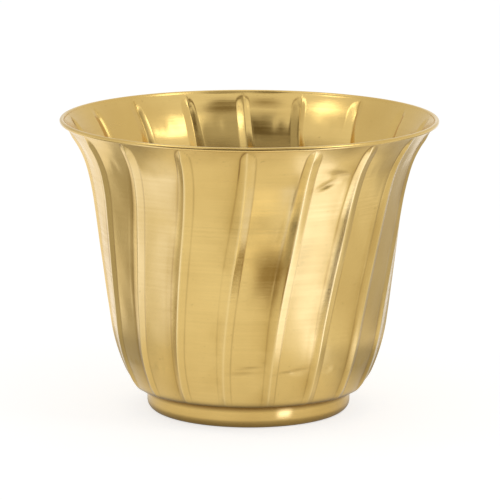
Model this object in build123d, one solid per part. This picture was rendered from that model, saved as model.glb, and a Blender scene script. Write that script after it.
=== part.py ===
from build123d import *
from math import cos, degrees, pi, radians, sin
import os

# Cachepot: a brass bowl with a rolled hem and pressed swirl ribs, soldered on a plain foot ring.
# Millimetres. The axis is Z, the floor is z = 0, and a rib's top stands at the front, towards -Y.

# Bowl sheet
rim_diameter = 250.0      # over the rolled hem
height = 195.0            # floor to the top of the hem
sheet = 0.9               # thickness of the bowl's brass sheet
hem_diameter = 3.0        # across the rolled hem
hem_flats = 8             # flats that the hem's round section is drawn with
hem_proud = 0.5           # that the hem stands proud inside the lip
lip_lean = 45.0           # degrees that the flare leans out where the hem begins
flare_radius = 67.0       # hollow curve under the lip
shoulder_radius = 172.0   # slower hollow curve from the flare into the wall
shoulder_turn = 8.0       # degrees that the shoulder turns
bend_radius = 126.0       # round curve where the wall draws in
bend_turn = 19.0          # degrees that the bend turns
heel_radius = 11.0        # tight curve from the bend into the flat bottom

# Pressed ribs
rib_count = 18
rib_width_top = 10.0      # across a rib at the lip
rib_width_foot = 7.6      # across a rib above the heel
rib_height = 1.5          # that the sheet is pressed out at a rib's crest
rib_crest = 0.34          # share of a rib's width before its crest, on its steep side
rib_swirl = 10.3          # degrees that a rib runs round the bowl, from its top to its foot
rib_top_tip = 8.0         # length of the tip in which a rib runs out under the hem
rib_foot_tip = 12.0       # length of the tip in which it runs out above the heel
panel_flatness = 1.0      # how flat the sheet is between two ribs: 0 is round, 1 is flat
wall_spans = 6            # stretches that a line up the wall is drawn through

# Foot ring and its solder
foot_diameter = 135.0
foot_height = 14.0        # floor to the flat bottom of the bowl
foot_sheet = 1.2          # thickness of the foot's band
foot_edge_radius = 6.0    # round of the band's turned-in lower edge
foot_edge_flats = 3       # flats that this round is drawn with
foot_flange = 4.0         # flat width that the foot rests on
seat_margin = 0.5         # flat bottom of the bowl outside the foot
solder_leg = 2.5          # leg of the solder fillet inside the foot

foot_radius = foot_diameter / 2
hem_radius = hem_diameter / 2
pitch = 360 / rib_count


def down_normal(lean):
    """Direction square to the bowl's outer face, in (radius, height), where it leans out by lean."""
    return Vector(cos(lean), -sin(lean))


def curve_centres(lean):
    """Centres of the hem, flare, shoulder, bend and heel for a lean of the straight wall."""
    hem = Vector(rim_diameter / 2 - hem_radius, height - hem_radius)
    hem_offset = hem_radius - sheet - hem_proud
    flare = hem + down_normal(radians(lip_lean)) * (flare_radius - hem_offset)
    shoulder_step = shoulder_radius - flare_radius
    shoulder = flare + down_normal(lean + radians(shoulder_turn)) * shoulder_step
    heel = Vector(foot_radius + seat_margin, foot_height + heel_radius)
    bend = heel - down_normal(lean + radians(bend_turn)) * (bend_radius - heel_radius)
    return hem, flare, shoulder, bend, heel


def wall_miss(lean):
    """Distance by which a wall of this lean that touches the bend passes the shoulder."""
    _, _, shoulder, bend, _ = curve_centres(lean)
    return (shoulder - bend).dot(down_normal(lean)) - shoulder_radius - bend_radius


def solve_lean():
    """Lean of the wall that touches both the shoulder and the bend, found by halving the range."""
    low = -radians(lip_lean)
    high = radians(lip_lean)
    for _ in range(60):
        middle = (low + high) / 2
        if wall_miss(middle) > 0:
            low = middle
        else:
            high = middle
    return low


wall_lean = solve_lean()
hem_c, flare_c, shoulder_c, bend_c, heel_c = curve_centres(wall_lean)
shoulder_angle = wall_lean + radians(shoulder_turn)
bend_angle = wall_lean + radians(bend_turn)


def meridian_arc(centre, radius, lean_from, lean_to):
    """Arc of the outline in the XZ plane between two leans; a hollow curve has a negative radius."""
    leans = (lean_from, (lean_from + lean_to) / 2, lean_to)
    points = [centre + down_normal(lean) * radius for lean in leans]
    return ThreePointArc(*[(p.X, 0, p.Y) for p in points])


def wall_outline():
    """Outer face of the wall, from the heel to the hem."""
    bend = meridian_arc(bend_c, bend_radius, bend_angle, wall_lean)
    shoulder = meridian_arc(shoulder_c, -shoulder_radius, wall_lean, shoulder_angle)
    flare = meridian_arc(flare_c, -flare_radius, shoulder_angle, radians(lip_lean))
    return Wire([bend, Line(bend @ 1, shoulder @ 0), shoulder, flare])


wall = wall_outline()
foot_place = rib_foot_tip / wall.length
top_place = 1 - rib_top_tip / wall.length


def swirl(place):
    """Angle of a rib's crest at a share of the way up the wall; its top is at zero."""
    return -rib_swirl * (1 + cos(pi * place)) / 2


def rib_angle(place):
    """Angle across a rib."""
    width = rib_width_foot + (rib_width_top - rib_width_foot) * place
    return degrees(width / (wall @ place).X)


# Lines of one stave, each with its angle from the rib's crest and its lift off the plain wall


def edge_before(place):
    return -rib_crest * rib_angle(place), 0.0


def crest(place):
    return 0.0, rib_height if 0 < place < 1 else 0.0


def edge_after(place):
    return (1 - rib_crest) * rib_angle(place), 0.0


def panel_middle(place):
    half_panel = (pitch - rib_angle(place)) / 2
    sink = (wall @ place).X * (1 - cos(radians(half_panel)))
    return edge_after(place)[0] + half_panel, -panel_flatness * sink * sin(pi * place) ** 2


def spot(line, place, start, depth):
    """Point of a stave's line at a share of the way up the wall, at a depth in the sheet."""
    turn, lift = line(place)
    rising = wall % place
    outward = Vector(rising.Z, 0, -rising.X)
    unturned = wall @ place + outward * (lift - depth)
    return unturned.rotate(Axis.Z, start + swirl(place) + turn - 90)


def rise(line, start, depth):
    """Curve of a stave's line between the ribs' foot tips and top tips."""
    step = (top_place - foot_place) / wall_spans
    places = [foot_place + step * i for i in range(wall_spans + 1)]
    points = [spot(line, place, start, depth) for place in places]
    return Edge.make_spline(points, parameters=places)


def heel_arc(line, start, depth):
    """Heel curve under a stave's line, from the flat bottom up."""
    turn = start + swirl(0) + line(0)[0] - 90
    return meridian_arc(heel_c, heel_radius - depth, pi / 2, bend_angle).rotate(Axis.Z, turn)


def strips(edges):
    """Ruled faces between neighbouring edges."""
    return [Face.make_surface_from_curves(a, b) for a, b in zip(edges, edges[1:])]


def flat(points):
    """Flat face with these corners."""
    return make_face(Polyline(*points, close=True)).face()


def fan(apex, corners):
    """Flat three-cornered faces from one corner to each pair of neighbours."""
    return [flat([apex, a, b]) for a, b in zip(corners, corners[1:])]


def stave_end(end, start, depth, lines):
    """Faces from the foot or top of a stave's lines to the wall's end, with the rib's tip."""
    before, ridge, after, middle, next_before = [line @ end for line in lines]
    tip = spot(crest, end, start, depth)
    next_tip = spot(crest, end, start + pitch, depth)
    panel_end = spot(panel_middle, end, start, depth)
    rib_side = fan(tip, [before, ridge, after, middle, panel_end])
    return rib_side + fan(middle, [panel_end, next_tip, next_before])


def stave_face(start, depth):
    """Face of one stave at a depth in the sheet: a rib and the panel after it."""
    lines = [rise(line, start, depth) for line in (edge_before, crest, edge_after, panel_middle)]
    lines.append(rise(edge_before, start + pitch, depth))
    heels = [heel_arc(crest, start, depth), heel_arc(panel_middle, start, depth)]
    heels.append(heel_arc(crest, start + pitch, depth))
    ends = [face for end in (0, 1) for face in stave_end(end, start, depth, lines)]
    return [*strips(lines), *ends, *strips(heels)]


def stave_lip(start):
    """Cut edge of the sheet over a stave, inside the hem."""
    places = [(crest, start), (panel_middle, start), (crest, start + pitch)]
    return strips([Line(spot(line, 1, at, 0), spot(line, 1, at, sheet)) for line, at in places])


def floor_face(starts, depth):
    """Flat bottom at a depth in the sheet."""
    return flat([heel_arc(line, start, depth) @ 0 for start in starts for line in (crest, panel_middle)])


def make_pressed_sheet():
    """Bowl without its hem: equal staves all round, closed by the flat bottom."""
    starts = [pitch * i for i in range(rib_count)]
    faces = [floor_face(starts, 0), floor_face(starts, sheet)]
    for start in starts:
        faces += [*stave_face(start, 0), *stave_face(start, sheet), *stave_lip(start)]
    return Solid(Shell(faces))


def make_bowl():
    """Pressed sheet with its rolled hem."""
    section = RegularPolygon(hem_radius, hem_flats, major_radius=False, rotation=180 / hem_flats)
    hem = revolve(Plane.XZ * Pos(hem_c.X, hem_c.Y) * section, Axis.Z)
    return make_pressed_sheet() + hem


def foot_side(depth):
    """Corners of the foot's band at a depth under its outer face, from its top to the flange's tip."""
    bend_x = foot_radius - foot_edge_radius
    round_edge = CenterArc((bend_x, foot_edge_radius), foot_edge_radius - depth, 0, -90)
    corners = [round_edge @ (i / foot_edge_flats) for i in range(foot_edge_flats + 1)]
    return [(foot_radius - depth, foot_height), *corners, (bend_x - foot_flange, depth)]


def make_foot_ring():
    """Upright band whose lower edge turns in to a flat flange."""
    section = Polyline(*foot_side(0), *reversed(foot_side(foot_sheet)), close=True)
    return revolve(Plane.XZ * make_face(section), Axis.Z)


def make_solder_fillet():
    """Solder in the corner between the foot's band and the bowl's flat bottom."""
    side_x = foot_radius - foot_sheet
    low = foot_height - solder_leg
    section = Polyline((side_x, foot_height), (side_x, low), (side_x - solder_leg, foot_height), close=True)
    return revolve(Plane.XZ * make_face(section), Axis.Z)


os.makedirs("parts", exist_ok=True)
export_step(make_bowl(), "parts/bowl.step")
export_step(make_foot_ring(), "parts/foot_ring.step")
export_step(make_solder_fillet(), "parts/solder_fillet.step")
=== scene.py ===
from math import cos, pi, radians, sin

import bpy
import numpy as np
from mathutils import Matrix, Vector


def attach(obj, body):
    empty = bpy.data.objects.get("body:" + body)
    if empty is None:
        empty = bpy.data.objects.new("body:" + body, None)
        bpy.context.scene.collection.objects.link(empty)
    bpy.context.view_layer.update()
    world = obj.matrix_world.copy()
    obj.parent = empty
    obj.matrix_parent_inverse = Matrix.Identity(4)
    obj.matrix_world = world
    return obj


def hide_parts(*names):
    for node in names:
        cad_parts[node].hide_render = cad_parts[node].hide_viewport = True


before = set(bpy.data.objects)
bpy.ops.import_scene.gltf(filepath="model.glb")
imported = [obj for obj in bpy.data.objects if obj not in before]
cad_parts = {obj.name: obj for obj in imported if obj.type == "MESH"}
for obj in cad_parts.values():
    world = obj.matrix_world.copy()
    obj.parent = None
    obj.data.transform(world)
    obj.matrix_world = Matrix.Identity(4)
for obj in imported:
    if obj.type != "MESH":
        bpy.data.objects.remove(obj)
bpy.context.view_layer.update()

# Looks of a brass cachepot: a flared bowl with pressed swirl ribs and a rolled hem, on a foot ring.
# Lengths of the object are in millimetres, as in its solids, and become metres in the meshes.
# An angle of -90 degrees is the front. An azimuth is 0 there and grows to the right.
MM = 0.001

# Outline of the bowl's outer face, from the middle of its flat bottom to the hem
bottom_height = 14.0
bottom_radius = 68.0
heel_radius = 11.0
bend_radius = 126.0
bend_turn = radians(19.0)
wall_lean = radians(7.851)        # of the straight wall, which touches both the bend and the shoulder
wall_length = 82.05               # of that straight stretch
shoulder_radius = 172.0
shoulder_turn = radians(8.0)
flare_radius = 67.0
lip_lean = radians(45.0)
sheet = 0.9
hem_centre = np.array([123.5, 193.5])     # radius and height
hem_radius = 1.5

# Pressed ribs
rib_count = 18
pitch = 2 * pi / rib_count
rib_swirl = radians(10.3)         # that a rib runs round the bowl, from its top to its foot
rib_before_ends = 4.0             # width of a rib's steep side, before its crest, at lip and foot
rib_before_middle = 6.5           # and half-way up
rib_after_top = 6.0               # width of its slow side at the lip
rib_after_foot = 4.2              # and at the foot
rib_height = 1.5
rib_top_gap = 1.5                 # plain sheet between a rib's top and the hem
rib_top_round = 9.0               # length in which the rib's top runs out
rib_foot_run = 9.0                # that a rib runs on over the heel
rib_foot_fade = 16.0              # length in which it runs out there
crest_softness = 0.07             # rounding of the crest, as a share of a flank's width
root_softness = 0.06              # rounding of the rib's root, the same way
steep_hollow = 1.6                # power of the steep side's hollow curve
spacing_drift = radians(1.5)      # slow drift of the hand-set spacing round the bowl, at the lip
spacing_drift_foot = 0.4          # share of the drift and of the shift below at the foot
back_shift = radians(4.2)         # that the ribs are set further round at the back, at the lip
back_middle = radians(157.0)      # azimuth where they are shifted most
back_width = radians(33.0)        # and how far to each side the shift reaches

# Panels between the ribs
panel_flatness = 0.7              # 0 is round, 1 is flat
panel_foot = (0.105, 0.13)        # shares of the wall between which a panel turns from round to flat
panel_top = (0.82, 0.9)           # and back to round
panel_wave = 0.014                # unevenness of a panel's ends, as a share of the wall
panel_waves = ((31, 0), (47, 1), (83, 2))     # waves round the bowl in it, each with its phase

# Painted shade and painted highlights on the sheet
crease_width = 0.4                # of the line of painted shade at a rib's root
crease_steep = (0.3, 1.0)         # its strength on the steep side, on the wall and under the lip
crease_slow = 0.45                # and on the slow side
shade_strip_width = 4.0                  # of the strip of painted shade along a rib's steep root
crest_highlight_width = 0.6                  # of the painted highlight along a crest
lip_shade = (0.9, 0.97)            # shares of the wall between which painted shade sets in under the lip
lip_shade_strength = 0.6
mask_names = ("crease_shade", "dull_and_shade", "crest_highlight")

# Dents, each with its azimuth in degrees, height, half length, half width, tilt in degrees and depth
dents = [
    (28.5, 166, 7.0, 1.7, 22, 0.9),
    (33.0, 173, 8.0, 1.8, -8, 0.7),
    (-2.0, 41, 9.0, 1.5, 1, 0.4),
    (1.0, 45, 6.0, 1.5, 5, 0.3),
    (20.0, 42, 11.0, 1.5, 7, 0.3),
]
dent_line = 0.8                   # half width of the line of painted shade along a dent
dent_shade = 0.6                # strength of that line

# Slight waves of the pressed sheet
ripple_terms = 60
ripple_rms = 0.05
ripple_seed = 11
ripple_turns = (6, 30)            # fewest turns of a wave round the bowl, and one more than the most
ripple_length = 32.0              # shortest wave up the bowl
ripple_rise = (10, 14)            # how fast the waves set in from the heel and from the lip

# Foot ring and its solder
foot_radius = 67.5
foot_sheet = 1.2
foot_edge_radius = 6.0
foot_flange = 4.0
foot_tip_break = 0.2              # broken corner at the flange's tip
foot_band_row = 10.0              # height of the row that keeps the band's side straight in the shading
solder_leg = 2.5

# Fineness of the meshes
flank_columns = 7
root_columns = (1.07, 1.16, 1.3)  # columns beyond a rib's root, in widths of its flank
panel_columns = 9
bottom_rows = 9
heel_rows = 11
wall_rows = 140
hem_rows = 24
ring_segments = 288
foot_edge_points = 16
foot_inner_points = 12
solder_points = 9
sharp_angle = radians(50)         # over which an edge is shaded as a corner
card_steps = 16
screen_steps = 24

# Colours of the metals; each pair is bright and dull
# Patina for the dark specks, and also painted shade in the rib creases, along the dents and at the seam
patina_and_shade = (0.17, 0.085, 0.018, 1)
# Painted shade in strips beside the ribs' steep roots, under the lip and along the inner grooves
painted_shade = (0.4, 0.24, 0.05, 1)
# Painted highlight along the ribs' crests
painted_highlight = (0.86, 0.66, 0.3, 1)
bowl_colours = ((0.745, 0.53, 0.19, 1), (0.66, 0.455, 0.15, 1))
foot_colours = ((0.72, 0.5, 0.17, 1), (0.63, 0.42, 0.13, 1))
solder_colours = ((0.52, 0.51, 0.49, 1), (0.33, 0.32, 0.3, 1))

# Patterns of the metals: waves of the turned lines round the pot and up it, and scales of the rest
line_waves = (1.4, 650.0)
hair_waves = (4.0, 2600.0)
cloud_scale = 24.0
speck_scale = 420.0
lump_scale = 160.0
rich_detail = 4.0
plain_detail = 2.0
noise_limits = (0.3, 0.7)         # between which most of a pattern's values lie

# How far the patterns change the metals
cloud_share = 0.8                 # towards the dull colour
line_share = 0.25                 # and for the turned lines
speck_share = 0.35                # towards patina
speck_limits = (0.7, 0.8)         # values of their pattern between which specks show
crease_shade_shares = (0.3, 0.9)       # of the painted crease shade's strength, in clear metal and in cloudy metal
shade_strip_share = 0.55                # of the painted shade strips' strength, in cloudy metal
shade_strip_limits = (0.4, 0.6)
crest_highlight_share = 0.5
line_roughness = (0.13, 0.21)
cloud_roughness = (0.0, 0.07)
lump_roughness = (0.4, 0.6)
hair_bump = (0.08, 0.0002)        # strength, and depth in metres
lump_bump = (0.4, 0.0006)
bowl_seam_shade = (0.9, 0.0, 0.0142, 0.0182)    # strengths of the painted seam shade, in the patina colour, at two heights in metres, up from the seam
foot_seam_shade = (0.0, 0.9, 0.0108, 0.0136)    # and up to the seam, on the foot

# Studio in metres: a pale floor and surround, softboxes, and cards and screens that only the metal sees
floor_size = 14.0
floor_white = (0.6, 0.6, 0.6, 1)
floor_glow = 0.68
contact_fade = (0.15, 1.0, 0.066, 0.087)  # shares of the glow that the metal sees, at two distances, as a painted contact shadow round the foot
pot_fade = (0.85, 1.0, 0.07, 0.2)         # and further out, as a painted shadow under the flare
surround_light = 0.55                     # strength with which the surround lights the floor
surround_white = (1, 1, 1, 1)
room_middle = Vector((0, 0, 0.12))        # of the round room that the softboxes and screens stand in
room_radius = 1.5
cool_white = (0.92, 1.0, 1.45, 1)
warm_dark = (1.0, 0.78, 0.42, 1)
room_grey = (1.0, 0.97, 0.9, 1)

# Softboxes, each with its width, height, brightness, azimuth and elevation
softbox_distance = 1.3
softboxes = [
    ("softbox_left", 0.38, 0.26, 2.0, -76, 56),
    ("softbox_right", 0.4, 0.5, 2.1, 61, 38),
]

# Screens, each with its azimuths, elevations, share of the room's radius, colour, strength and soft edge
room_screens = [
    ("room_left", (-180, -70), (-4, 60), 1.1, room_grey, 0.8, 0.2),
    ("room_right", (62, 180), (-4, 60), 1.1, room_grey, 0.88, 0.2),
    ("front_low", (-70, 60), (-12, 24), 1.0, warm_dark, 0.12, 0.2),
    ("front_middle", (-28, 0), (18, 58), 1.05, warm_dark, 0.14, 0.22),
    ("front_side", (-4, 36), (18, 56), 1.08, room_grey, 0.52, 0.12),
    ("front_left", (-40, -2), (62, 78), 1.06, warm_dark, 0.3, 0.25),
    ("front_right", (6, 54), (53, 75), 1.07, warm_dark, 0.22, 0.25),
]

# Floor cards, each with its azimuths, their twist outwards, distances, lift, colour, strength and edge
floor_cards = [
    ("card_right", (31, 63), 0, (0.122, 0.48), 0.003, cool_white, 1.82, 0.2),
    ("card_left", (-74, -43), 0, (0.17, 0.46), 0.003, cool_white, 1.42, 0.3),
    ("side_left", (-112, -72), 0, (0.16, 0.8), 0.002, room_grey, 0.55, 0.15),
    ("back_left", (-178, -106), 0, (0.16, 0.8), 0.002, room_grey, 1.15, 0.15),
    ("side_right", (62, 92), 0, (0.18, 0.8), 0.002, room_grey, 0.86, 0.15),
    ("back_right", (94, 150), 0, (0.16, 0.8), 0.002, room_grey, 0.62, 0.15),
    ("near_left", (-140, -58), 0, (0.07, 0.25), 0.004, room_grey, 0.5, 0.35),
    ("near_right", (48, 150), 0, (0.07, 0.2), 0.004, room_grey, 0.5, 0.35),
    ("far_floor", (-60, 60), 0, (0.55, 1.6), 0.002, warm_dark, 0.14, 0.1),
    ("shade_rib", (-4, 15), 0, (0.405, 0.56), 0.006, warm_dark, 0.03, 0.08),
    ("shade_next_rib", (26, 37), 8, (0.29, 0.52), 0.006, warm_dark, 0.04, 0.1),
    ("panel_light", (2, 19), 0, (0.25, 0.42), 0.005, room_grey, 1.35, 0.25),
    ("rib_light", (18, 29), 0, (0.26, 0.4), 0.006, cool_white, 1.3, 0.25),
]

# Raised cards, each with two azimuths, a distance and a height at its low and high end, then as above
raised_cards = [
    ("dark_card", (-1, 16.5, 0.215, 0.0245), (6, 23.5, 0.135, 0.11), warm_dark, 0.36, 0.27),
    ("foot_light", (19, 32, 0.089, 0.0005), (19, 32, 0.081, 0.0105), cool_white, 2.8, 0.3),
]

# Camera in metres, fitted to the photo's rim, foot and sides
image_size = 500
focal_pixels = 3838.8
sensor_width = 36.0
camera_distance = 2.5
camera_height = 0.5855
camera_offset = 0.0007
camera_azimuth = radians(0.65)
camera_pitch = radians(10.856)
camera_roll = radians(0.2)


def outline_marks():
    """Arc lengths along the bowl's outer face where one curve meets the next, and the lean at each."""
    bend_lean = wall_lean + bend_turn
    shoulder_lean = wall_lean + shoulder_turn
    last_lean = lip_lean - hem_radius / flare_radius
    leans = [pi / 2, pi / 2, bend_lean, wall_lean, wall_lean, shoulder_lean, last_lean]
    lengths = [
        bottom_radius,
        heel_radius * (pi / 2 - bend_lean),
        bend_radius * bend_turn,
        wall_length,
        shoulder_radius * shoulder_turn,
        flare_radius * (last_lean - shoulder_lean),
    ]
    return np.concatenate([[0], np.cumsum(lengths)]), leans


def outline():
    """Arc length, radius, height and lean along the bowl's outer face, and the wall's two ends."""
    marks, leans = outline_marks()
    bottom = np.linspace(0, marks[1], bottom_rows + 1)[1:]
    heel = np.linspace(marks[1], marks[2], heel_rows + 1)[1:]
    wall = np.linspace(marks[2], marks[-1], wall_rows + 1)[1:]
    along = np.concatenate([bottom, heel, wall])
    lean = np.interp(along, marks, leans)
    turn = np.diff(lean, prepend=lean[0])
    middle = lean - turn / 2
    chord = np.diff(along, prepend=0) * np.sinc(turn / (2 * pi))
    radius = np.cumsum(chord * np.sin(middle))
    height = bottom_height + np.cumsum(chord * np.cos(middle))
    return along, radius, height, lean, marks[2], marks[-1]


along, radius, height, lean, wall_start, wall_end = outline()
sheet_end = wall_end + hem_radius
place = np.clip((along - wall_start) / (sheet_end - wall_start), 0, 1)


def ease(x):
    """Smooth step from 0 to 1."""
    x = np.clip(x, 0, 1)
    return x * x * (3 - 2 * x)


def share_of(value, limits):
    """Smooth share of the way from one limit to the other."""
    return ease((value - limits[0]) / (limits[1] - limits[0]))


def ridge(t):
    """Section of a rib: 1 at the crest, straight flanks, about 0 from t = 1 on."""
    def soft(t):
        flank = 1 - np.sqrt(t * t + crest_softness ** 2)
        return (flank + np.sqrt(flank ** 2 + root_softness ** 2)) / 2
    return soft(t) / soft(np.zeros(1))


def hollow(t):
    """Section of a rib's steep side: 1 at the crest, falling in a hollow curve to 0 at t = 1."""
    fall = np.sqrt(t * t + crest_softness ** 2) - crest_softness
    return np.clip(1 - fall, 0, 1) ** steep_hollow


def flank_shares():
    """Columns of a flank from next to its crest to beyond its root, closest where the sheet bends."""
    x = np.linspace(0, 1, flank_columns + 1)[1:]
    return np.concatenate([(1 - np.cos(pi * x)) / 2, root_columns])


def stave_columns():
    """Angle from a rib's crest at each row and column of a stave, and across both of its sides."""
    swell = np.sin(pi * place) ** 2
    girth = np.maximum(radius, bottom_radius)
    before = (rib_before_ends + (rib_before_middle - rib_before_ends) * swell) / girth
    after = (rib_after_foot + (rib_after_top - rib_after_foot) * place) / girth
    before, after = before[:, None], after[:, None]
    shares = flank_shares()[None, :]
    on_before, on_after = -before * shares[:, ::-1], after * shares
    first, last = on_after[:, -1:], pitch + on_before[:, :1]
    on_panel = first + (last - first) * np.linspace(0, 1, panel_columns + 2)[None, 1:-1]
    return np.concatenate([on_before, 0 * before, on_after, on_panel], axis=1), before, after


def stave_masks(across, beside, flank, fade):
    """Painted shade in the creases, beside the steep roots and under the lip, and painted highlights on
    the crests, at each row and column of a stave.
    """
    steep = beside < 0
    from_root = (across - 1) * flank * radius[:, None]
    under_lip = share_of(place, panel_top)[:, None]
    on_steep = crease_steep[0] + (crease_steep[1] - crease_steep[0]) * under_lip
    strength = np.where(steep, on_steep, crease_slow)
    crease_shade = np.exp(-(from_root / crease_width) ** 2) * strength * fade
    shade_strip = np.exp(-np.abs(from_root) / shade_strip_width) * steep * fade
    dull_and_shade = np.maximum(shade_strip, lip_shade_strength * share_of(place, lip_shade)[:, None])
    crest_highlight = np.exp(-(beside * radius[:, None] / crest_highlight_width) ** 2) * (across < 1) * fade
    return crease_shade, dull_and_shade, crest_highlight


def stave():
    """Angle, lift of the rib and of the flat panel, and masks, at each row and column of a stave."""
    angle, before, after = stave_columns()
    half_panel = (pitch - before - after) / 2
    middle = after + half_panel
    beside = np.where(angle > middle, angle - pitch, angle)
    steep = beside < 0
    flank = np.where(steep, before, after)
    over_top = (along - (wall_end - rib_top_gap - rib_top_round)) / rib_top_round
    across = np.sqrt((beside / flank) ** 2 + np.clip(over_top, 0, None)[:, None] ** 2)
    fade = ease((along - wall_start + rib_foot_run) / rib_foot_fade)[:, None]
    rib = rib_height * np.where(steep, hollow(across), ridge(across)) * fade
    flat = np.cos(half_panel) / np.cos(np.minimum(np.abs(angle - middle), half_panel)) - 1
    return angle, rib, flat * radius[:, None], *stave_masks(across, beside, flank, fade)


def panel_window(angle):
    """Mask of the flat panels, with uneven ends."""
    wave = sum(np.sin(turns * angle + phase) for turns, phase in panel_waves)
    here = place[:, None] + panel_wave * wave / len(panel_waves)
    return panel_flatness * share_of(here, panel_foot) * (1 - share_of(here, panel_top))


def drift(angle):
    """Slow drift of the ribs' spacing, which turns over twice round the bowl, and a shift at the back."""
    share = spacing_drift_foot + (1 - spacing_drift_foot) * ease(place)
    azimuth = (angle + pi / 2) % (2 * pi)
    shift = back_shift * np.exp(-((azimuth - back_middle) / back_width) ** 2)
    return share[:, None] * (spacing_drift * np.sin(2 * azimuth) + shift)


def dented(angle):
    """Depth of the dents and strength of the painted shade along them at each row and column."""
    depth = np.zeros_like(angle)
    line = np.zeros_like(angle)
    for azimuth, level, length, width, tilt, deep in dents:
        turned = (angle + pi / 2 - radians(azimuth) + pi) % (2 * pi) - pi
        aside, up = turned * radius[:, None], (height - level)[:, None]
        run = aside * cos(radians(tilt)) + up * sin(radians(tilt))
        rise = up * cos(radians(tilt)) - aside * sin(radians(tilt))
        depth += deep * np.exp(-(run / length) ** 2 - (rise / width) ** 2)
        line += dent_shade * np.exp(-(run / length) ** 2 - (rise / dent_line) ** 2)
    return depth, line


def ripple(angle):
    """Slight waves in the sheet, smooth round the bowl, which run out at the heel and at the lip."""
    random = np.random.default_rng(ripple_seed)
    waves = np.zeros_like(angle)
    for _ in range(ripple_terms):
        turns = random.integers(*ripple_turns)
        rise = random.uniform(-1, 1) * 2 * pi / ripple_length
        phase = random.uniform(0, 2 * pi)
        waves += np.cos(turns * angle + rise * height[:, None] + phase)
    fade = ease(place * ripple_rise[0]) * ease((1 - place) * ripple_rise[1])
    return waves * ripple_rms / np.sqrt(ripple_terms / 2) * fade[:, None]


def lifted(lift):
    """Radius and height of points that stand off the plain outline by lift."""
    return radius[:, None] + np.cos(lean)[:, None] * lift, height[:, None] - np.sin(lean)[:, None] * lift


def bowl_skins():
    """Outer and inner face of the sheet: angle, radius, height and masks at each row and column."""
    stave_angle, *stave_rest = stave()
    swirl = -rib_swirl * (1 + np.cos(pi * place)) / 2
    starts = pitch * np.arange(rib_count) - pi / 2
    angle = np.concatenate([stave_angle + start for start in starts], axis=1) + swirl[:, None]
    angle = angle + drift(angle)
    rib, flat, crease_shade, dull_and_shade, crest_highlight = [np.concatenate([part] * rib_count, axis=1) for part in stave_rest]
    depth, line = dented(angle)
    lift = rib + flat * panel_window(angle) + ripple(angle) - depth
    # Outside, the masks give painted shade in the creases, along the dents, beside the steep roots and
    # under the lip, and painted highlights on the crests; inside, the crest line gives painted shade
    # along the grooves.
    outer_masks = (np.maximum(crease_shade, line), dull_and_shade, crest_highlight)
    inner_masks = (0 * crest_highlight, crest_highlight, 0 * crest_highlight)
    return (angle, *lifted(lift), *outer_masks), (angle, *lifted(lift - sheet), *inner_masks)


def hem_bead(outer, inner):
    """Rows round the rolled hem, from the outer face over the rim to the inner face."""
    first = np.array([outer[1][-1].mean(), outer[2][-1].mean()]) - hem_centre
    last = np.array([inner[1][-1].mean(), inner[2][-1].mean()]) - hem_centre
    begin = np.arctan2(first[1], first[0])
    end = np.arctan2(last[1], last[0])
    if end < begin:
        end += 2 * pi
    turns = np.linspace(begin, end, hem_rows + 2)[1:-1]
    angle = np.repeat(outer[0][-1][None, :], hem_rows, axis=0)
    across = hem_centre[0] + hem_radius * np.cos(turns)
    up = hem_centre[1] + hem_radius * np.sin(turns)
    plain = 0 * angle
    return angle, across[:, None] + plain, up[:, None] + plain, plain, plain, plain


def grid_faces(rows, columns):
    """Four-sided faces of a grid whose columns close round."""
    row, column = np.meshgrid(np.arange(rows - 1), np.arange(columns), indexing="ij")
    after = (column + 1) % columns
    a, b = row * columns + column, row * columns + after
    return np.stack([a, b, b + columns, a + columns], axis=-1).reshape(-1, 4).tolist()


def new_piece(name, points, faces):
    """Smooth mesh object in metres from points in millimetres."""
    mesh = bpy.data.meshes.new(name)
    mesh.from_pydata((np.asarray(points) * MM).tolist(), [], faces)
    mesh.validate()
    mesh.shade_smooth()
    mesh.set_sharp_from_angle(angle=sharp_angle)
    made = bpy.data.objects.new(name, mesh)
    bpy.context.scene.collection.objects.link(made)
    return made


def add_mask(piece, name, values):
    """Value at each point of a piece that its material reads by name."""
    mask = piece.data.attributes.new(name, "FLOAT", "POINT")
    padded = np.zeros(len(piece.data.vertices))
    padded[:values.size] = values.ravel()
    mask.data.foreach_set("value", padded)


def bottom_fans(rows, columns):
    """Three-sided faces from a grid's first and last row to the two points that follow the grid."""
    under = rows * columns
    over = under + 1
    last = under - columns
    fans = []
    for i in range(columns):
        after = (i + 1) % columns
        fans.append([under, after, i])
        fans.append([over, last + i, last + after])
    return fans


def make_bowl():
    """Closed sheet: outer face, hem and inner face, with a fan in the middle of each bottom."""
    outer, inner = bowl_skins()
    hem = hem_bead(outer, inner)
    parts = [np.concatenate([a, b, c[::-1]]) for a, b, c in zip(outer, hem, inner)]
    angle, across, up, *masks = parts
    grid = np.stack([across * np.cos(angle), across * np.sin(angle), up], axis=-1)
    middles = [[0, 0, bottom_height], [0, 0, bottom_height + sheet]]
    points = grid.reshape(-1, 3).tolist() + middles
    faces = grid_faces(*angle.shape) + bottom_fans(*angle.shape)
    made = new_piece("bowl_shell", points, faces)
    for name, mask in zip(mask_names, masks):
        add_mask(made, name, mask)
    return made


def arc(centre, reach, begin, end, count):
    """Points of an arc in the (radius, height) plane, from one angle to another in degrees."""
    turns = np.radians(np.linspace(begin, end, count))
    return [(centre[0] + reach * cos(t), centre[1] + reach * sin(t)) for t in turns]


def revolve(name, section):
    """Ring with this closed section, listed so that its faces look out."""
    turns = np.linspace(0, 2 * pi, ring_segments, endpoint=False)
    points = [(r * cos(t), r * sin(t), z) for r, z in section for t in turns]
    faces = grid_faces(len(section), ring_segments)
    last = (len(section) - 1) * ring_segments
    for i in range(ring_segments):
        after = (i + 1) % ring_segments
        faces.append([last + i, last + after, after, i])
    return new_piece(name, points, faces)


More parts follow.
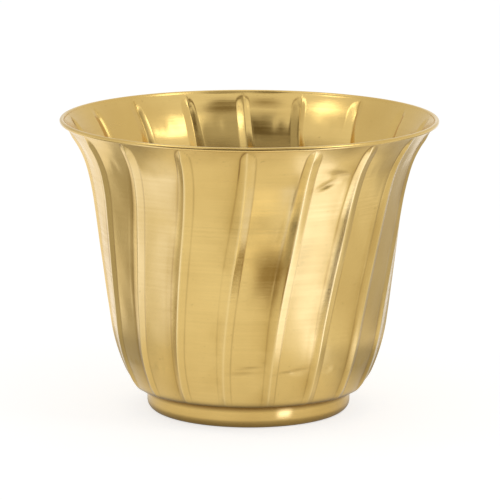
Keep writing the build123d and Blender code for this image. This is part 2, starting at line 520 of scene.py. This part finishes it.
def make_foot():
    """Upright band whose lower edge turns in to a flat flange."""
    bend_x = foot_radius - foot_edge_radius
    tip_x = bend_x - foot_flange
    inner_x = foot_radius - foot_sheet
    centre = (bend_x, foot_edge_radius)
    section = [(tip_x, foot_sheet - foot_tip_break), (tip_x, foot_tip_break), (tip_x + foot_tip_break, 0)]
    section += arc(centre, foot_edge_radius, -90, 0, foot_edge_points)
    section += [(foot_radius, foot_band_row), (foot_radius, bottom_height)]
    section += [(inner_x, bottom_height), (inner_x, foot_band_row)]
    section += arc(centre, foot_edge_radius - foot_sheet, 0, -90, foot_inner_points)
    section += [(tip_x + foot_tip_break, foot_sheet)]
    return revolve("foot_band", section)


def make_solder():
    """Hollow bead of solder in the corner between the band and the bowl's bottom."""
    side_x = foot_radius - foot_sheet
    low = bottom_height - solder_leg
    face = arc((side_x - solder_leg, low), solder_leg, 90, 0, solder_points)
    return revolve("solder_bead", [(side_x, bottom_height), *face])


bowl = make_bowl()
foot = make_foot()
solder = make_solder()
for piece, node, slot in (
    (bowl, "bowl", "bowl_brass"),
    (foot, "foot_ring", "foot_brass"),
    (solder, "solder_fillet", "solder"),
):
    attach(piece, "root")
    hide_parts(node)


def fill(tree, socket, value):
    """Link a socket to another one, or set its value."""
    if isinstance(value, bpy.types.NodeSocket):
        tree.links.new(value, socket)
    else:
        socket.default_value = value


def add(tree, kind, inputs=None, **settings):
    """New shader node with its settings and its inputs, given as values or as sockets."""
    made = tree.nodes.new(kind)
    for name, value in settings.items():
        setattr(made, name, value)
    for name, value in (inputs or {}).items():
        fill(tree, made.inputs[name], value)
    return made


def blank(name):
    """New node material with nothing but its output."""
    made = bpy.data.materials.new(name)
    made.use_nodes = True
    made.node_tree.nodes.clear()
    return made, made.node_tree, add(made.node_tree, "ShaderNodeOutputMaterial")


def scale_range(tree, value, low, high, start=noise_limits[0], end=noise_limits[1]):
    """Value between start and end brought to between low and high."""
    inputs = {"Value": value, "From Min": start, "From Max": end, "To Min": low, "To Max": high}
    return add(tree, "ShaderNodeMapRange", inputs).outputs["Result"]


def combine(tree, operation, a, b):
    """Result of an operation on two numbers."""
    return add(tree, "ShaderNodeMath", {0: a, 1: b}, operation=operation).outputs[0]


def mix_colour(tree, factor, a, b):
    """Colour between a and b; these sockets of the node are known by number alone."""
    made = add(tree, "ShaderNodeMix", {0: factor}, data_type="RGBA")
    fill(tree, made.inputs[6], a)
    fill(tree, made.inputs[7], b)
    return made.outputs[2]


def vector(tree, operation, inputs):
    """Result of an operation on vectors."""
    return add(tree, "ShaderNodeVectorMath", inputs, operation=operation).outputs[0]


def around(tree, spot, turns, rise):
    """Coordinates that run slowly round the pot's axis and fast up it, with no seam."""
    unit = vector(tree, "NORMALIZE", {0: vector(tree, "MULTIPLY", {0: spot, 1: (1, 1, 0)})})
    round_part = vector(tree, "SCALE", {0: unit, "Scale": turns})
    up_part = vector(tree, "MULTIPLY", {0: spot, 1: (0, 0, rise)})
    return vector(tree, "ADD", {0: round_part, 1: up_part})


def noise(tree, spot, scale, detail):
    """Cloudy pattern with values about the middle of 0 to 1."""
    made = add(tree, "ShaderNodeTexNoise", {"Vector": spot, "Scale": scale, "Detail": detail})
    return made.outputs["Fac"]


def metal(tree, output, colour, rough, bump, bumps):
    """Metal surface with bumps of a given strength and depth."""
    inputs = {"Strength": bump[0], "Distance": bump[1], "Height": bumps}
    normal = add(tree, "ShaderNodeBump", inputs).outputs[0]
    inputs = {"Base Color": colour, "Metallic": 1.0, "Roughness": rough, "Normal": normal}
    shader = add(tree, "ShaderNodeBsdfPrincipled", inputs)
    tree.links.new(shader.outputs[0], output.inputs["Surface"])


def clouded(tree, spot, lines, clouds, bright, dull_and_shade):
    """Brass colour with dull clouds, turned lines and dark specks."""
    specks = noise(tree, spot, speck_scale, plain_detail)
    colour = mix_colour(tree, scale_range(tree, clouds, 0.0, cloud_share), bright, dull_and_shade)
    colour = mix_colour(tree, scale_range(tree, lines, 0.0, line_share), colour, dull_and_shade)
    return mix_colour(tree, scale_range(tree, specks, 0.0, speck_share, *speck_limits), colour, patina_and_shade)


def add_painted_light(tree, colour, clouds):
    """Colour with painted shade in strips beside the ribs, under the lip and in the creases, and painted
    highlights on the crests.
    """
    masks = [add(tree, "ShaderNodeAttribute", attribute_name=name).outputs["Fac"] for name in mask_names]
    crease_shade, dull_and_shade, crest_highlight = masks
    shade_strip = combine(tree, "MULTIPLY", dull_and_shade, scale_range(tree, clouds, 0.0, shade_strip_share, *shade_strip_limits))
    crease_shading = combine(tree, "MULTIPLY", crease_shade, scale_range(tree, clouds, *crease_shade_shares))
    colour = mix_colour(tree, shade_strip, colour, painted_shade)
    colour = mix_colour(tree, crease_shading, colour, patina_and_shade)
    return mix_colour(tree, combine(tree, "MULTIPLY", crest_highlight, crest_highlight_share), colour, painted_highlight)


def brass(name, bright, dull_and_shade, seam_shade):
    """Polished sheet brass with turned lines, clouds and specks, painted shade and highlights at the
    ribs, and painted shade at the seam.
    """
    made, tree, output = blank(name)
    spot = add(tree, "ShaderNodeTexCoord").outputs["Object"]
    up = add(tree, "ShaderNodeSeparateXYZ", {0: spot}).outputs["Z"]
    lines = noise(tree, around(tree, spot, *line_waves), 1.0, rich_detail)
    hairs = noise(tree, around(tree, spot, *hair_waves), 1.0, plain_detail)
    clouds = noise(tree, spot, cloud_scale, rich_detail)
    colour = add_painted_light(tree, clouded(tree, spot, lines, clouds, bright, dull_and_shade), clouds)
    # Painted shade at the seam between the bowl and the foot ring, in the patina colour
    colour = mix_colour(tree, scale_range(tree, up, *seam_shade), colour, patina_and_shade)
    on_lines = scale_range(tree, lines, *line_roughness)
    on_clouds = scale_range(tree, clouds, *cloud_roughness)
    metal(tree, output, colour, combine(tree, "ADD", on_lines, on_clouds), hair_bump, hairs)
    return made


def tin_solder():
    """Dull tin solder with a frosted, lumpy surface."""
    made, tree, output = blank("tin_solder")
    spot = add(tree, "ShaderNodeTexCoord").outputs["Object"]
    lumps = noise(tree, spot, lump_scale, rich_detail)
    colour = mix_colour(tree, scale_range(tree, lumps, 0.0, 1.0), *solder_colours)
    metal(tree, output, colour, scale_range(tree, lumps, *lump_roughness), lump_bump, lumps)
    return made


bowl.data.materials.append(brass("bowl_brass", *bowl_colours, bowl_seam_shade))
foot.data.materials.append(brass("foot_brass", *foot_colours, foot_seam_shade))
solder.data.materials.append(tin_solder())


def patch(name, point, count):
    """Stage surface through point(u, v), with u and v from 0 to 1 as its UV map."""
    shares = np.linspace(0, 1, count + 1)
    spots = [(u, v) for v in shares for u in shares]
    side = count + 1
    corners = [row * side + column for row in range(count) for column in range(count)]
    faces = [(a, a + 1, a + side + 1, a + side) for a in corners]
    mesh = bpy.data.meshes.new(name)
    mesh.from_pydata([point(u, v) for u, v in spots], [], faces)
    layer = mesh.uv_layers.new(name="UVMap")
    for loop in mesh.loops:
        layer.data[loop.index].uv = spots[loop.vertex_index]
    made = bpy.data.objects.new(name, mesh)
    bpy.context.scene.collection.objects.link(made)
    return made


def card_material(name, colour, strength, edge, back_only):
    """Light that fades out towards the card's edges, on both sides or on its back alone."""
    made, tree, output = blank(name)
    spot = add(tree, "ShaderNodeUVMap").outputs["UV"]
    off_middle = vector(tree, "ABSOLUTE", {0: vector(tree, "SUBTRACT", {0: spot, 1: (0.5, 0.5, 0)})})
    parts = add(tree, "ShaderNodeSeparateXYZ", {0: off_middle})
    across, up = [scale_range(tree, parts.outputs[i], 1.0, 0.0, 0.5 - edge, 0.5) for i in (0, 1)]
    cover = combine(tree, "MULTIPLY", across, up)
    if back_only:
        back = add(tree, "ShaderNodeNewGeometry").outputs["Backfacing"]
        cover = combine(tree, "MULTIPLY", cover, back)
    light = add(tree, "ShaderNodeEmission", {"Color": colour, "Strength": strength})
    clear = add(tree, "ShaderNodeBsdfTransparent")
    both = add(tree, "ShaderNodeMixShader", {0: cover, 1: clear.outputs[0], 2: light.outputs[0]})
    tree.links.new(both.outputs[0], output.inputs["Surface"])
    return made


def only_in_metal(card, colour, strength, edge, back_only=False):
    """Show a card in reflections alone."""
    card.visible_camera = False
    card.visible_diffuse = False
    card.visible_shadow = False
    card.data.materials.append(card_material(card.name, colour, strength, edge, back_only))


def floor_card(name, azimuths, twist, radii, lift, colour, strength, edge):
    """Card just over the floor, whose azimuths grow by twist on their way outwards."""
    def point(u, v):
        turn = radians(np.interp(u, (0, 1), azimuths) + twist * v)
        reach = np.interp(v, (0, 1), radii)
        return reach * sin(turn), -reach * cos(turn), lift
    only_in_metal(patch(name, point, card_steps), colour, strength, edge)


def raised_card(name, low, high, colour, strength, edge):
    """Card off the floor, seen from the pot's side alone."""
    ends = np.array([low, high])

    def point(u, v):
        turns, (reach, up) = np.split((1 - v) * ends[0] + v * ends[1], 2)
        turn = radians((1 - u) * turns[0] + u * turns[1])
        return reach * sin(turn), -reach * cos(turn), up
    only_in_metal(patch(name, point, card_steps), colour, strength, edge, True)


def room_direction(azimuth, elevation):
    """Direction from the middle of the room, for angles in degrees."""
    turn, rise = radians(azimuth), radians(elevation)
    return Vector((sin(turn) * cos(rise), -cos(turn) * cos(rise), sin(rise)))


def room_screen(name, azimuths, elevations, share, colour, strength, edge):
    """Screen on a round room."""
    def point(u, v):
        towards = room_direction(np.interp(u, (0, 1), azimuths), np.interp(v, (0, 1), elevations))
        return room_middle + towards * room_radius * share
    only_in_metal(patch(name, point, screen_steps), colour, strength, edge)


def floor_paper():
    """White paper, which glows for the camera, and less near the pot for the metal as a painted shadow of
    the pot.
    """
    made, tree, output = blank("floor_paper")
    rays = add(tree, "ShaderNodeLightPath").outputs
    spot = add(tree, "ShaderNodeNewGeometry").outputs["Position"]
    reach = add(tree, "ShaderNodeVectorMath", {0: spot}, operation="LENGTH").outputs["Value"]
    fades = [scale_range(tree, reach, *fade) for fade in (contact_fade, pot_fade)]
    metal_rays = combine(tree, "MAXIMUM", rays["Is Glossy Ray"], rays["Is Transmission Ray"])
    in_metal = combine(tree, "MULTIPLY", metal_rays, combine(tree, "MULTIPLY", *fades))
    seen = combine(tree, "MAXIMUM", rays["Is Camera Ray"], in_metal)
    diffuse = add(tree, "ShaderNodeBsdfDiffuse", {"Color": floor_white})
    glow = add(tree, "ShaderNodeEmission", {"Strength": combine(tree, "MULTIPLY", seen, floor_glow)})
    both = add(tree, "ShaderNodeAddShader", {0: diffuse.outputs[0], 1: glow.outputs[0]})
    tree.links.new(both.outputs[0], output.inputs["Surface"])
    return made


def make_floor():
    """Square of paper under the pot."""
    def point(u, v):
        return (u - 0.5) * floor_size, (v - 0.5) * floor_size, 0
    patch("floor", point, 1).data.materials.append(floor_paper())


def make_surround():
    """Soft light from all sides, which is white to the camera, in metal and through glass."""
    world = bpy.data.worlds.new("surround")
    bpy.context.scene.world = world
    world.use_nodes = True
    tree = world.node_tree
    tree.nodes.clear()
    rays = add(tree, "ShaderNodeLightPath").outputs
    seen = combine(tree, "MAXIMUM", rays["Is Camera Ray"], rays["Is Glossy Ray"])
    seen = combine(tree, "MAXIMUM", seen, rays["Is Transmission Ray"])
    strength = scale_range(tree, seen, surround_light, 1.0, 0.0, 1.0)
    light = add(tree, "ShaderNodeBackground", {"Color": surround_white, "Strength": strength})
    output = add(tree, "ShaderNodeOutputWorld")
    tree.links.new(light.outputs[0], output.inputs["Surface"])


def softbox(name, width, height, brightness, azimuth, elevation):
    """Rectangular lamp of a given brightness that faces the pot."""
    lamp = bpy.data.lights.new(name, "AREA")
    lamp.shape = "RECTANGLE"
    lamp.size = width
    lamp.size_y = height
    lamp.energy = brightness * pi * width * height
    made = bpy.data.objects.new(name, lamp)
    bpy.context.scene.collection.objects.link(made)
    towards = room_direction(azimuth, elevation)
    made.location = room_middle + towards * softbox_distance
    made.rotation_euler = (-towards).to_track_quat("-Z", "Y").to_euler()


def make_studio():
    make_floor()
    make_surround()
    for box in softboxes:
        softbox(*box)
    for screen in room_screens:
        room_screen(*screen)
    for card in floor_cards:
        floor_card(*card)
    for card in raised_cards:
        raised_card(*card)


def set_camera():
    data = bpy.data.cameras.new("camera")
    data.sensor_width = sensor_width
    data.lens = sensor_width * focal_pixels / image_size
    made = bpy.data.objects.new("camera", data)
    bpy.context.scene.collection.objects.link(made)
    orbit = Matrix.Rotation(camera_azimuth, 4, "Z")
    stand = Matrix.Translation((camera_offset, -camera_distance, camera_height))
    tilt = Matrix.Rotation(pi / 2 - camera_pitch, 4, "X")
    roll = Matrix.Rotation(camera_roll, 4, "Z")
    made.matrix_world = orbit @ stand @ tilt @ roll
    bpy.context.scene.camera = made


make_studio()
set_camera()
bpy.context.scene.view_settings.view_transform = "Standard"
